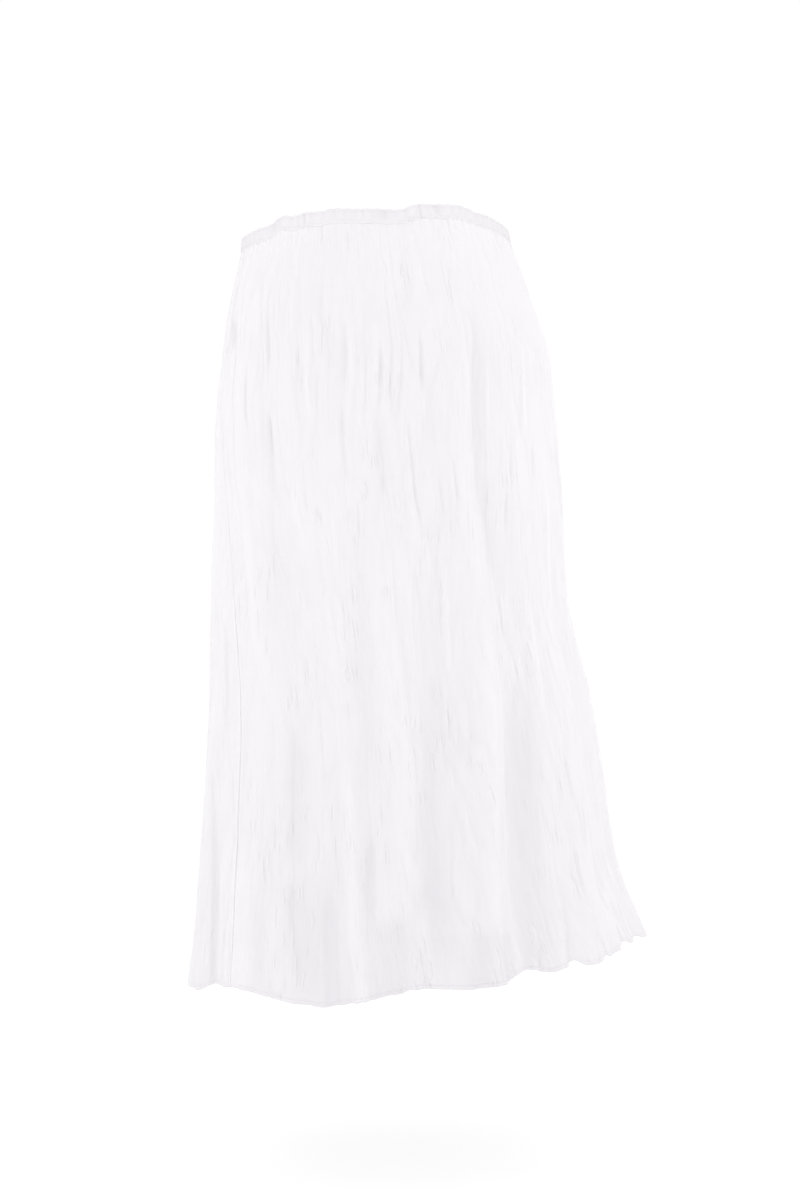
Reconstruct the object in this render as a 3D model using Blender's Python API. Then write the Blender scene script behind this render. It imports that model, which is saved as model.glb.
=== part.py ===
"""A white crinkle-pleated maxi skirt with an elastic waist, hollow, as it hangs round an unseen wearer.

Metres, +Z up, front towards -Y. The origin is the middle of the waist's top edge. A turn is the angle
round the skirt from centre front, growing towards +X, and a drop is the distance down the cloth's axis.
"""

import math
from collections import namedtuple

import bpy
import numpy as np

# Driving sizes
WALL = 0.0014
SEAM_GAP = 0.0003
SKIRT_DROP = 0.868
BAND_DROP = 0.016
BAND_WALL = 0.0026
HEM_ROLL_DROP = 0.009
HEM_ROLL_WALL = 0.0024

# The wearer stands with the weight on one leg, so the whole skirt leans
LEAN = math.radians(-4.3)

# The top edge rises over the front, and the hem rises and dips in six soft waves
FRONT_RISE = 0.011
FRONT_RISE_TURN = math.radians(-14)
FRONT_RISE_FADES = 0.2
HEM_WAVE = 0.007
HEM_WAVES = 6
HEM_WAVE_TURN = math.radians(-44)
HEM_WAVE_STARTS = 0.5

# The body has turned inside the skirt, which drags the cloth round at the right hip
TWIST = math.radians(26)
TWIST_TURN = math.radians(-70)
TWIST_SPREAD = math.radians(23)
TWIST_STARTS = 0.12
TWIST_ENDS = 0.60

# Fine pleats in each panel, and the gathers over the elastic
CRINKLES = 60
CRINKLE_AT_WAIST = 0.0006
CRINKLE_AT_HEM = 0.0012
GATHERS = 60
GATHER_DEPTH = 0.0006
GATHER_TEETH = 0.0008

# How a pleat's strength comes and goes: waves from pleat to pleat, and down the cloth
PLEAT_SHARE_THAT_VARIES = 0.25
PLEAT_WAVES = (1.9, 0.73)
PLEAT_WAVES_DOWN = (9.0, -14.0)

# The mesh: points to a pleat, and rows over the hip, below it and in the band
COLUMNS_PER_PLEAT = 2
HIP_DROP = 0.21
ROWS_OVER_HIP = 5
ROWS_BELOW_HIP = 7
ROWS_CROWD_HEM = 1.25
BAND_ROWS = 3
TURN_STEP = 0.002
SHARP_EDGE = math.radians(60)

# How far down a fold takes to reach its hip depth
FOLD_RUN_IN = 0.09

# Half sizes of the outline at each drop, and how far its middle lies from the leaning axis
Section = namedtuple("Section", "drop sway half_width half_depth")
SECTIONS = [
    Section(drop=0.000, sway=0.000, half_width=0.166, half_depth=0.122),
    Section(drop=0.016, sway=0.000, half_width=0.168, half_depth=0.124),
    Section(drop=0.048, sway=0.000, half_width=0.178, half_depth=0.132),
    Section(drop=0.092, sway=0.000, half_width=0.190, half_depth=0.142),
    Section(drop=0.152, sway=0.003, half_width=0.204, half_depth=0.153),
    Section(drop=0.212, sway=-0.002, half_width=0.211, half_depth=0.158),
    Section(drop=0.332, sway=-0.006, half_width=0.218, half_depth=0.164),
    Section(drop=0.452, sway=-0.013, half_width=0.222, half_depth=0.168),
    Section(drop=0.572, sway=-0.011, half_width=0.239, half_depth=0.179),
    Section(drop=0.692, sway=-0.011, half_width=0.256, half_depth=0.191),
    Section(drop=0.790, sway=-0.011, half_width=0.270, half_depth=0.203),
    Section(drop=0.868, sway=-0.003, half_width=0.291, half_depth=0.217),
]

# The valleys between the flutes: turn and spread in degrees, drop and depths in metres
Fold = namedtuple("Fold", "turn spread starts hip_depth hem_depth")
FOLDS = [
    Fold(turn=-95, spread=6.5, starts=0.45, hip_depth=0.002, hem_depth=0.014),
    Fold(turn=-71, spread=5.0, starts=0.10, hip_depth=0.004, hem_depth=0.022),
    Fold(turn=-50, spread=4.5, starts=0.50, hip_depth=0.002, hem_depth=0.010),
    Fold(turn=-32, spread=4.5, starts=0.26, hip_depth=0.003, hem_depth=0.016),
    Fold(turn=-8, spread=4.5, starts=0.12, hip_depth=0.003, hem_depth=0.019),
    Fold(turn=11, spread=5.0, starts=0.10, hip_depth=0.008, hem_depth=0.026),
    Fold(turn=22, spread=3.0, starts=0.58, hip_depth=0.001, hem_depth=0.010),
    Fold(turn=36, spread=5.0, starts=0.42, hip_depth=0.002, hem_depth=0.014),
    Fold(turn=51, spread=4.0, starts=0.55, hip_depth=0.001, hem_depth=0.010),
    Fold(turn=78, spread=5.5, starts=0.22, hip_depth=0.003, hem_depth=0.018),
    Fold(turn=99, spread=5.0, starts=0.40, hip_depth=0.002, hem_depth=0.013),
    Fold(turn=121, spread=5.5, starts=0.12, hip_depth=0.005, hem_depth=0.022),
    Fold(turn=143, spread=4.5, starts=0.48, hip_depth=0.002, hem_depth=0.013),
    Fold(turn=164, spread=5.0, starts=0.16, hip_depth=0.004, hem_depth=0.020),
    Fold(turn=184, spread=4.5, starts=0.52, hip_depth=0.002, hem_depth=0.011),
    Fold(turn=203, spread=5.5, starts=0.11, hip_depth=0.006, hem_depth=0.024),
    Fold(turn=222, spread=4.5, starts=0.38, hip_depth=0.002, hem_depth=0.014),
    Fold(turn=242, spread=5.0, starts=0.20, hip_depth=0.004, hem_depth=0.018),
]


def smooth(value, start, end):
    """0 before start, 1 after end, and an S curve between them."""
    t = np.clip((value - start) / (end - start), 0.0, 1.0)
    return t * t * (3.0 - 2.0 * t)


def at_drop(column, drop):
    """One column of the section table at a drop, on a smooth curve through its rows."""
    drops = np.array([section.drop for section in SECTIONS])
    values = np.array([getattr(section, column) for section in SECTIONS])
    slopes = np.gradient(values, drops)
    row = np.clip(np.searchsorted(drops, drop) - 1, 0, len(drops) - 2)
    span = drops[row + 1] - drops[row]
    t = (drop - drops[row]) / span
    ends = values[row] * (1 + 2 * t) * (1 - t) ** 2 + values[row + 1] * (3 - 2 * t) * t**2
    return ends + span * (slopes[row] * t * (1 - t) ** 2 - slopes[row + 1] * (1 - t) * t**2)


def turned_from(turn, centre):
    """The turn between a place and a centre, the short way round."""
    return (turn - centre + math.pi) % (2 * math.pi) - math.pi


def dragged(turn, drop):
    """Where a thread that starts at a turn at the waist has gone by a drop."""
    away = turned_from(turn, TWIST_TURN) / TWIST_SPREAD
    return turn + TWIST * np.exp(-0.5 * away**2) * smooth(drop, TWIST_STARTS, TWIST_ENDS)


def squeeze(turn, drop):
    """How close together the threads lie after the twist: 1 where it leaves them alone, and at most 1."""
    drawn = dragged(turn + TURN_STEP, drop) - dragged(turn - TURN_STEP, drop)
    return np.minimum(drawn / (2 * TURN_STEP), 1.0)


def fold_push(fold, turn, drop):
    """How far one fold pushes the cloth inwards."""
    away = turned_from(turn, math.radians(fold.turn)) / math.radians(fold.spread)
    bell = np.exp(-0.5 * away**2)
    grown = fold.hip_depth + (fold.hem_depth - fold.hip_depth) * smooth(drop, fold.starts, SKIRT_DROP)
    return grown * smooth(drop, fold.starts, fold.starts + FOLD_RUN_IN) * bell


def middle(turn, drop):
    """(x, y) of the middle of the cloth, with its folds and without its fine pleats."""
    pushed = sum(fold_push(fold, turn, drop) for fold in FOLDS)
    round_turn = dragged(turn, drop)
    x = at_drop("sway", drop) + (at_drop("half_width", drop) - pushed) * np.sin(round_turn)
    y = -(at_drop("half_depth", drop) - pushed) * np.cos(round_turn)
    return np.stack([x, y], axis=-1)


def along(turn, drop):
    """How the middle of the cloth moves with the turn: a level vector, in metres for each radian."""
    return (middle(turn + TURN_STEP, drop) - middle(turn - TURN_STEP, drop)) / (2 * TURN_STEP)


def outward(turn, drop):
    """The level unit vector that points out of the cloth."""
    forward = along(turn, drop)
    normal = np.stack([forward[..., 1], -forward[..., 0]], axis=-1)
    return normal / np.linalg.norm(normal, axis=-1, keepdims=True)


def cloth(turn, drop, out):
    """Points at a distance out of the cloth's middle, with the lift of the top edge and the hem's waves."""
    flat = middle(turn, drop) + outward(turn, drop) * np.asarray(out)[..., None]
    ahead = np.maximum(np.cos(turn - FRONT_RISE_TURN), 0.0)
    rise = FRONT_RISE * ahead**2 * (1.0 - smooth(drop, BAND_DROP, BAND_DROP + FRONT_RISE_FADES))
    wave = HEM_WAVE * np.cos(HEM_WAVES * (dragged(turn, drop) - HEM_WAVE_TURN))
    lowered = drop + wave * smooth(drop, HEM_WAVE_STARTS, SKIRT_DROP)
    return np.concatenate([flat, (rise - lowered)[..., None]], axis=-1)


def unevenness(column, drop):
    """At most 1: how strong a fine pleat is here, since pressed crinkles come and go."""
    phases = [across * column + down * drop for across, down in zip(PLEAT_WAVES, PLEAT_WAVES_DOWN)]
    return 1.0 - PLEAT_SHARE_THAT_VARIES * (1.0 - np.sin(phases[0]) * np.sin(phases[1]))


def crinkle(turns, drop):
    """The fine pleats, ridge by valley, as a push in or out."""
    column = np.arange(turns.shape[-1])
    side = np.where(column % COLUMNS_PER_PLEAT == 0, -1.0, 1.0)
    depth = CRINKLE_AT_WAIST + (CRINKLE_AT_HEM - CRINKLE_AT_WAIST) * smooth(drop, BAND_DROP, SKIRT_DROP)
    return side * depth * unevenness(column, drop) * squeeze(turns, drop)


def cloth_material(name, colour, roughness):
    """A plain matt cloth."""
    material = bpy.data.materials.new(name)
    material.use_nodes = True
    shader = material.node_tree.nodes["Principled BSDF"]
    shader.inputs["Base Color"].default_value = (*colour, 1.0)
    shader.inputs["Roughness"].default_value = roughness
    shader.inputs["Metallic"].default_value = 0.0
    return material


def add_piece(name, points, faces, material, parent):
    """One closed mesh object, shaded smooth, hung from its parent."""
    mesh = bpy.data.meshes.new(name)
    mesh.from_pydata(points.tolist(), [], faces)
    mesh.update()
    mesh.shade_smooth()
    mesh.set_sharp_from_angle(angle=SHARP_EDGE)
    mesh.materials.append(material)
    piece = bpy.data.objects.new(name, mesh)
    bpy.context.scene.collection.objects.link(piece)
    piece.parent = parent
    return piece


def strip(first, second, closed):
    """Quads between two equal rows of point numbers."""
    count = len(first)
    last = count if closed else count - 1
    return [(first[i], first[(i + 1) % count], second[(i + 1) % count], second[i]) for i in range(last)]


def wall_faces(outer, inner, closed):
    """Faces of a wall from its outer and inner grids of point numbers, rows from top to bottom."""
    faces = []
    for upper, lower in zip(outer, outer[1:]):
        faces += strip(lower, upper, closed)
    for upper, lower in zip(inner, inner[1:]):
        faces += strip(upper, lower, closed)
    faces += strip(outer[0], inner[0], closed)
    faces += strip(inner[-1], outer[-1], closed)
    if not closed:
        faces += strip(inner[:, 0], outer[:, 0], False)
        faces += strip(outer[:, -1], inner[:, -1], False)
    return [tuple(int(number) for number in face) for face in faces]


def add_wall(name, outer_points, inner_points, closed, material, parent):
    """A cloth wall between two grids of points."""
    rows, columns = outer_points.shape[:2]
    numbers = np.arange(rows * columns).reshape(rows, columns)
    points = np.concatenate([outer_points.reshape(-1, 3), inner_points.reshape(-1, 3)])
    faces = wall_faces(numbers, numbers + rows * columns, closed)
    return add_piece(name, points, faces, material, parent)


def panel_rows():
    """The drops of a panel's rows: close together over the hip, wider below, and closer again to the hem."""
    over_hip = np.linspace(BAND_DROP + SEAM_GAP, HIP_DROP, ROWS_OVER_HIP + 1)
    to_hem = 1.0 - (1.0 - np.linspace(0.0, 1.0, ROWS_BELOW_HIP + 1)) ** ROWS_CROWD_HEM
    below = HIP_DROP + (SKIRT_DROP - HEM_ROLL_DROP - HIP_DROP) * to_hem
    return [*over_hip, *below[1:], SKIRT_DROP]


def panel_turns(middle_turn, drop):
    """The turns of a panel's columns at a drop, half a seam gap short of each side seam."""
    edges = middle_turn + np.array([-math.pi / 2, math.pi / 2])
    edges += np.array([1, -1]) * SEAM_GAP / 2 / np.linalg.norm(along(edges, drop), axis=-1)
    return np.linspace(*edges, CRINKLES * COLUMNS_PER_PLEAT + 1)


def add_panel(name, middle_turn, material, parent):
    """Half of the skirt, from side seam to side seam, with its fine pleats."""
    outer, inner = [], []
    for drop in panel_rows():
        turns = panel_turns(middle_turn, drop)
        drops = np.full_like(turns, drop)
        rolled = smooth(drop, SKIRT_DROP - HEM_ROLL_DROP, SKIRT_DROP)
        half_wall = (WALL + (HEM_ROLL_WALL - WALL) * rolled) / 2
        pleat = crinkle(turns, drops)
        pleat[[0, -1]] = 0.0
        outer.append(cloth(turns, drops, pleat + half_wall))
        inner.append(cloth(turns, drops, pleat - half_wall))
    return add_wall(name, np.array(outer), np.array(inner), False, material, parent)


def add_waistband(material, parent):
    """The casing over the elastic: a narrow ring, gathered outside, with a toothed top edge."""
    columns = GATHERS * COLUMNS_PER_PLEAT
    turns = np.arange(columns) * 2 * math.pi / columns
    side = np.where(np.arange(columns) % COLUMNS_PER_PLEAT == 0, -1.0, 1.0)
    outer, inner = [], []
    for drop in np.linspace(0.0, BAND_DROP, BAND_ROWS + 1):
        drops = np.full(columns, drop)
        gather = side * GATHER_DEPTH * unevenness(np.arange(columns), drops)
        ring = cloth(turns, drops, gather + BAND_WALL / 2)
        lining = cloth(turns, drops, np.full(columns, -BAND_WALL / 2))
        if drop == 0.0:
            ring[:, 2] += side * GATHER_TEETH / 2
            lining[:, 2] += side * GATHER_TEETH / 2
        outer.append(ring)
        inner.append(lining)
    return add_wall("waistband", np.array(outer), np.array(inner), True, material, parent)


def main():
    for old in list(bpy.data.objects):
        bpy.data.objects.remove(old)
    lean = bpy.data.objects.new("skirt_lean", None)
    bpy.context.scene.collection.objects.link(lean)
    lean.rotation_euler = (0.0, LEAN, 0.0)
    gauze = cloth_material("crinkled_gauze", colour=(0.92, 0.91, 0.92), roughness=0.85)
    casing = cloth_material("gathered_casing", colour=(0.88, 0.87, 0.88), roughness=0.85)
    add_waistband(casing, lean)
    add_panel("front_panel", 0.0, gauze, lean)
    add_panel("back_panel", math.pi, gauze, lean)


main()
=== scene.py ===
"""The looks of a crinkled maxi skirt with a gathered waist casing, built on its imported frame."""

import sys

import logging
import math
from dataclasses import dataclass
from enum import Enum
from typing import Any

import bpy
import numpy as np
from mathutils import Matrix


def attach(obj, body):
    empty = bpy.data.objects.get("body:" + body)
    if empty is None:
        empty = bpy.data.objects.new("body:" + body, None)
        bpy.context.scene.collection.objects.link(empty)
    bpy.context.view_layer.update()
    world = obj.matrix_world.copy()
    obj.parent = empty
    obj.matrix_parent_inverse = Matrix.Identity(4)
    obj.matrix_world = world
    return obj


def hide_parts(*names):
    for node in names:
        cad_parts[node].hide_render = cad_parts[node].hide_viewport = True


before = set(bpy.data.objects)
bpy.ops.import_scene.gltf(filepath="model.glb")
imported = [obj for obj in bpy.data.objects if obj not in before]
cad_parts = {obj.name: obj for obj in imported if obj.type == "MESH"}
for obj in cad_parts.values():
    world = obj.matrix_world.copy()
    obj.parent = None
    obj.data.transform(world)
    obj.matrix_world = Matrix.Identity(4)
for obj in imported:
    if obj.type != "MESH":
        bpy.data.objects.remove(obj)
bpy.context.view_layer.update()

LOG = logging.getLogger("skirt")
BODY = "root"
TURN_STEP = 0.002
FULL_TURN = 2 * math.pi
LEAST_LENGTH = 1e-12

Grid = np.ndarray
Colour = tuple[float, float, float]
Point = tuple[float, float, float]
Pair = tuple[float, float]
Faces = list[list[int]]


class Panel(Enum):
    """The two halves of the skirt, each with the turn of its middle."""

    FRONT = 0.0
    BACK = math.pi


class Kind(Enum):
    """Which way a crease goes."""

    TROUGH = -1.0
    RIDGE = 1.0


class Steep(Enum):
    """Which flank of a crease or fold is the steep one, seen from outside."""

    NEITHER = 0
    LEFT = -1
    RIGHT = 1


class Slot(Enum):
    """The record's material slots."""

    CLOTH = "skirt_cloth"
    CASING = "waist_casing"


def smooth(value: Grid | float, start: float, end: float) -> Grid:
    """An S curve: 0 up to start, and 1 from end on."""
    t = np.clip((np.asarray(value, float) - start) / (end - start), 0.0, 1.0)
    return t * t * (3.0 - 2.0 * t)


def bell(away: Grid, width: float = math.sqrt(2)) -> Grid:
    """A bell curve: 1 where away is 0, and about a third of that one width from there."""
    return np.exp(-((away / width) ** 2))


def unit(vectors: Grid) -> Grid:
    """Vectors with the same directions and a length of one."""
    return vectors / np.maximum(np.linalg.norm(vectors, axis=-1, keepdims=True), LEAST_LENGTH)


def turned_from(turn: Grid | float, centre: Grid | float) -> Grid:
    """The turn between a place and a centre, the short way round."""
    return (np.asarray(turn) - centre + math.pi) % FULL_TURN - math.pi


def through_rows(places: Grid, values: Grid, at: Grid) -> Grid:
    """A smooth curve through a table's rows.

    Args:
        places: Where the rows stand, from low to high.
        values: What each row gives.
        at: Where to read the curve, inside the rows.

    Returns:
        The curve's value at each place.
    """
    slopes = np.gradient(values, places)
    row = np.clip(np.searchsorted(places, at) - 1, 0, len(places) - 2)
    span = places[row + 1] - places[row]
    t = (at - places[row]) / span
    ends = values[row] * (1 + 2 * t) * (1 - t) ** 2 + values[row + 1] * (3 - 2 * t) * t**2
    return ends + span * (slopes[row] * t * (1 - t) ** 2 - slopes[row + 1] * (1 - t) * t**2)


@dataclass(frozen=True)
class Section:
    """One level of the hanging cloth, in metres."""

    drop: float
    sway: float
    half_width: float
    half_depth: float


@dataclass(frozen=True)
class Fold:
    """One long valley between two flutes: spread in degrees, the rest in metres.

    path gives the turn of its floor, in degrees, at each level of FOLD_LEVELS.
    """

    path: tuple[float, ...]
    spread: float
    starts: float
    hip_depth: float
    hem_depth: float
    steep: Steep = Steep.NEITHER


@dataclass(frozen=True)
class Crease:
    """One crease from a high end to a low end: turns in degrees, the rest in metres.

    lap is how far its crest is drawn over the steep flank.
    """

    turn: float
    drop: float
    low_turn: float
    low_drop: float
    half_width: float
    depth: float
    kind: Kind = Kind.TROUGH
    steep: Steep = Steep.NEITHER
    lap: float = 0.0


@dataclass(frozen=True)
class EdgeStep:
    """How far an edge of the cloth hangs below its smooth line: turn in degrees, metres."""

    turn: float
    lower: float


SECTIONS = (
    Section(drop=0.000, sway=0.000, half_width=0.166, half_depth=0.122),
    Section(drop=0.016, sway=0.000, half_width=0.168, half_depth=0.124),
    Section(drop=0.048, sway=0.000, half_width=0.178, half_depth=0.132),
    Section(drop=0.092, sway=0.000, half_width=0.190, half_depth=0.142),
    Section(drop=0.152, sway=0.003, half_width=0.204, half_depth=0.153),
    Section(drop=0.212, sway=-0.002, half_width=0.211, half_depth=0.158),
    Section(drop=0.332, sway=-0.006, half_width=0.218, half_depth=0.164),
    Section(drop=0.452, sway=-0.013, half_width=0.222, half_depth=0.168),
    Section(drop=0.572, sway=-0.011, half_width=0.239, half_depth=0.179),
    Section(drop=0.692, sway=-0.011, half_width=0.256, half_depth=0.191),
    Section(drop=0.790, sway=-0.011, half_width=0.270, half_depth=0.203),
    Section(drop=0.868, sway=-0.003, half_width=0.291, half_depth=0.217),
)

FOLD_LEVELS = (0.0, 0.14, 0.28, 0.42, 0.56, 0.70, 0.868)

FOLDS = (
    Fold((-95, -95, -96, -96, -95, -96, -98), 7.5, 0.45, 0.002, 0.009),
    Fold((-64, -64, -65, -72, -75, -74, -68), 5.6, 0.10, 0.0018, 0.008, Steep.LEFT),
    Fold((-50, -50, -51, -51, -52, -52, -51), 7.0, 0.50, 0.0005, 0.004),
    Fold((-35, -35, -35, -34, -39, -39, -34), 8.0, 0.20, 0.0012, 0.0035, Steep.LEFT),
    Fold((-9, -10, -9, -11, -11, -17, -22), 5.6, 0.12, 0.002, 0.011, Steep.LEFT),
    Fold((13, 12, 10, 16, 16, 12, 8), 6.6, 0.10, 0.006, 0.018, Steep.LEFT),
    Fold((25, 25, 25, 26, 27, 26, 21), 3.0, 0.62, 0.001, 0.0065),
    Fold((42, 43, 46, 46, 48, 47, 38), 4.6, 0.14, 0.002, 0.009),
    Fold((56, 56, 56, 57, 58, 57, 52), 4.0, 0.55, 0.001, 0.010),
    Fold((78, 77, 78, 80, 81, 80, 78), 5.5, 0.22, 0.003, 0.018, Steep.RIGHT),
    Fold((99, 99, 98, 98, 100, 99, 97), 5.0, 0.40, 0.002, 0.013),
    Fold((121, 120, 119, 121, 124, 125, 122), 5.5, 0.12, 0.005, 0.022, Steep.LEFT),
    Fold((143, 143, 142, 141, 140, 142, 144), 4.5, 0.48, 0.002, 0.013),
    Fold((164, 165, 167, 166, 163, 162, 165), 5.0, 0.16, 0.004, 0.020, Steep.RIGHT),
    Fold((184, 184, 185, 186, 185, 183, 182), 4.5, 0.52, 0.002, 0.011),
    Fold((203, 202, 200, 202, 205, 204, 200), 5.5, 0.11, 0.006, 0.024, Steep.LEFT),
    Fold((222, 222, 223, 225, 224, 221, 223), 4.5, 0.38, 0.002, 0.014),
    Fold((242, 243, 244, 241, 239, 240, 243), 5.0, 0.20, 0.004, 0.018, Steep.RIGHT),
)


@dataclass(frozen=True)
class SkirtForm:
    """The form that the cloth hangs in. Sizes are metres, turns radians.

    A turn is counted at the waist: 0 is the front, a quarter turn is the seam at the viewer's
    right. The drop is counted from the top edge along the leaning axis.
    """

    sections: tuple[Section, ...] = SECTIONS
    folds: tuple[Fold, ...] = FOLDS
    skirt_drop: float = 0.868
    band_drop: float = 0.016
    lean: float = math.radians(-4.3)
    front_rise: float = 0.011
    front_rise_turn: float = math.radians(-14)
    front_rise_fades: float = 0.2
    hem_wave: float = 0.007
    hem_waves: int = 6
    hem_wave_turn: float = math.radians(-44)
    hem_wave_starts: float = 0.5
    twist: float = math.radians(26)
    twist_turn: float = math.radians(-70)
    twist_spread: float = math.radians(23)
    twist_starts: float = 0.12
    twist_ends: float = 0.60
    grain_share: float = 0.55
    fold_run_in: float = 0.09
    steep_share: float = 0.6
    gentle_share: float = 1.3
    flank_change: float = 4.0

    def at_drop(self, column: str, drop: Grid) -> Grid:
        """One column of the section table.

        Args:
            column: The name of a field of Section.
            drop: Where to read it.

        Returns:
            The size at each drop, on a smooth curve through the rows.
        """
        drops = np.array([section.drop for section in self.sections])
        sizes = np.array([getattr(section, column) for section in self.sections])
        return through_rows(drops, sizes, np.clip(drop, drops[0], drops[-1]))

    def dragged(self, turn: Grid, drop: Grid) -> Grid:
        """Where a thread that starts at a turn at the waist has gone by a drop."""
        away = turned_from(turn, self.twist_turn) / self.twist_spread
        return turn + self.twist * bell(away) * smooth(drop, self.twist_starts, self.twist_ends)

    def grain(self, turn: Grid, drop: Grid) -> Grid:
        """The turn that the crinkles keep to: they follow the drag only in part."""
        return turn + self.grain_share * (self.dragged(turn, drop) - turn)

    def squeeze(self, turn: Grid, drop: Grid) -> Grid:
        """How close the threads lie after the twist: 1 where it leaves them alone, at most 1."""
        drawn = self.dragged(turn + TURN_STEP, drop) - self.dragged(turn - TURN_STEP, drop)
        return np.minimum(drawn / (2 * TURN_STEP), 1.0)

    def flank(self, away: Grid, steep: Steep) -> Grid:
        """How much wider or narrower a flank is than the mean.

        Args:
            away: The signed distance from the crest or the valley's floor.
            steep: The steep flank.

        Returns:
            A share of the half width on each side of the middle.
        """
        side = np.tanh(self.flank_change * away) * steep.value
        mean = (self.steep_share + self.gentle_share) / 2
        return mean - side * (self.gentle_share - self.steep_share) / 2 if steep.value else 1.0

    def fold_push(self, fold: Fold, turn: Grid, drop: Grid) -> Grid:
        """How far one fold pushes the cloth in.

        Args:
            fold: The fold.
            turn: Turns at the waist.
            drop: Drops of the same shape.

        Returns:
            The push in metres, inwards.
        """
        deepening = smooth(drop, fold.starts, self.skirt_drop)
        levels, path = np.array(FOLD_LEVELS), np.radians(fold.path)
        centre = through_rows(levels, path, np.clip(drop, levels[0], levels[-1]))
        away = turned_from(turn, centre) / math.radians(fold.spread)
        grown = fold.hip_depth + (fold.hem_depth - fold.hip_depth) * deepening
        grown = grown * smooth(drop, fold.starts, fold.starts + self.fold_run_in)
        return grown * bell(away / self.flank(away, fold.steep))

    def middle(self, turn: Grid, drop: Grid) -> Grid:
        """The level place of the middle of the cloth, with its folds.

        Args:
            turn: Turns at the waist.
            drop: Drops of the same shape.

        Returns:
            x and y in the last axis.
        """
        pushed = sum(self.fold_push(fold, turn, drop) for fold in self.folds)
        round_turn = self.dragged(turn, drop)
        x = self.at_drop("sway", drop) + (self.at_drop("half_width", drop) - pushed) * np.sin(round_turn)
        y = -(self.at_drop("half_depth", drop) - pushed) * np.cos(round_turn)
        return np.stack([x, y], axis=-1)

    def along(self, turn: Grid, drop: Grid) -> Grid:
        """How the middle of the cloth moves with the turn: a level vector in metres a radian."""
        ahead = self.middle(turn + TURN_STEP, drop)
        return (ahead - self.middle(turn - TURN_STEP, drop)) / (2 * TURN_STEP)

    def reach(self, turn: Grid, drop: Grid) -> Grid:
        """Metres of cloth to a radian of turn."""
        return np.linalg.norm(self.along(turn, drop), axis=-1)

    def place(self, turn: Grid, drop: Grid, out: Grid, shift: Grid, lower: Grid) -> Grid:
        """Points of the cloth in the frame's own axes.

        Args:
            turn: Turns at the waist.
            drop: Drops below the top edge.
            out: Distances out of the cloth's middle.
            shift: Distances along the cloth, towards higher turns.
            lower: Distances that the points hang below their drop.

        Returns:
            x, y and z in the last axis.
        """
        forward = unit(self.along(turn, drop))
        outward = np.stack([forward[..., 1], -forward[..., 0]], axis=-1)
        level = self.middle(turn, drop) + outward * out[..., None] + forward * shift[..., None]
        ahead = np.maximum(np.cos(turn - self.front_rise_turn), 0.0)
        fades = 1.0 - smooth(drop, self.band_drop, self.band_drop + self.front_rise_fades)
        wave = self.hem_wave * np.cos(self.hem_waves * (self.dragged(turn, drop) - self.hem_wave_turn))
        height = self.front_rise * ahead**2 * fades - drop - lower
        height = height - wave * smooth(drop, self.hem_wave_starts, self.skirt_drop)
        cos, sin = math.cos(self.lean), math.sin(self.lean)
        x, y = level[..., 0], level[..., 1]
        return np.stack([x * cos + height * sin, y, height * cos - x * sin], axis=-1)


@dataclass(frozen=True)
class PatchNoise:
    """Smooth uneven values from -1 to 1 that meet again after a full turn."""

    seed: int
    patches_round: int
    patch_drop: float
    length: float = 1.3
    spare_rows: int = 4
    headroom: float = 0.05

    def at(self, turn: Grid, drop: Grid) -> Grid:
        """The value at each place.

        Args:
            turn: Turns in radians.
            drop: Drops in metres, from the headroom above the top edge to 1.2 below it.

        Returns:
            Values of the same shape.
        """
        rng = np.random.default_rng(self.seed)
        rows = int(self.length / self.patch_drop) + self.spare_rows
        knots = rng.uniform(-1.0, 1.0, (rows, self.patches_round))
        starts = rng.uniform(0.0, 1.0, self.patches_round)
        across = (turn / FULL_TURN) % 1.0 * self.patches_round
        column = np.floor(across).astype(int)
        share = smooth(across - column, 0, 1)
        found = np.zeros_like(across)
        for step, weight in ((0, 1 - share), (1, share)):
            nearest = (column + step) % self.patches_round
            down = (drop + self.headroom) / self.patch_drop + starts[nearest]
            row = np.floor(down).astype(int)
            t = smooth(down - row, 0, 1)
            found += weight * (knots[row, nearest] * (1 - t) + knots[row + 1, nearest] * t)
        return found


@dataclass(frozen=True)
class Relief:
    """How the cloth stands off its smooth form, in metres.

    hollow is how deep a place lies in its creases, without the broad swells; the finishes paint shade by
    it.
    """

    out: Grid
    shift: Grid
    lower: Grid
    hollow: Grid

    def plus(self, other: "Relief") -> "Relief":
        """Both reliefs on top of each other."""
        out, shift = self.out + other.out, self.shift + other.shift
        return Relief(out, shift, self.lower + other.lower, self.hollow + other.hollow)


@dataclass(frozen=True)
class CalmPatch:
    """A place where the cloth is drawn smooth: turn and spread in degrees, drops in metres."""

    turn: float
    spread: float
    drop: float
    low_drop: float
    calm: float
    run_out: float = 0.35

    def share_left(self, turn: Grid, drop: Grid) -> Grid:
        """The share of the crinkles' depth that is left.

        Args:
            turn: Turns at the waist.
            drop: Drops of the same shape.

        Returns:
            From 0 to 1 at each place.
        """
        away = turned_from(turn, math.radians(self.turn)) / math.radians(self.spread)
        run = (self.low_drop - self.drop) * self.run_out
        ends = smooth(drop, self.drop - run / 2, self.drop + run / 2)
        ends = ends * (1.0 - smooth(drop, self.low_drop - run, self.low_drop + run))
        return 1.0 - self.calm * bell(away) * ends


CALM_PATCHES = (
    CalmPatch(58, 20, 0.00, 0.50, 0.60),
    CalmPatch(40, 8, 0.05, 0.24, 0.45),
    CalmPatch(-84, 9, 0.30, 0.62, 0.55),
    CalmPatch(-50, 9, 0.26, 0.42, 0.40),
    CalmPatch(60, 14, 0.48, 0.74, 0.45),
    CalmPatch(108, 12, 0.05, 0.30, 0.45),
    CalmPatch(150, 13, 0.30, 0.55, 0.40),
    CalmPatch(192, 12, 0.06, 0.28, 0.45),
    CalmPatch(232, 14, 0.34, 0.62, 0.45),
)


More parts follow.
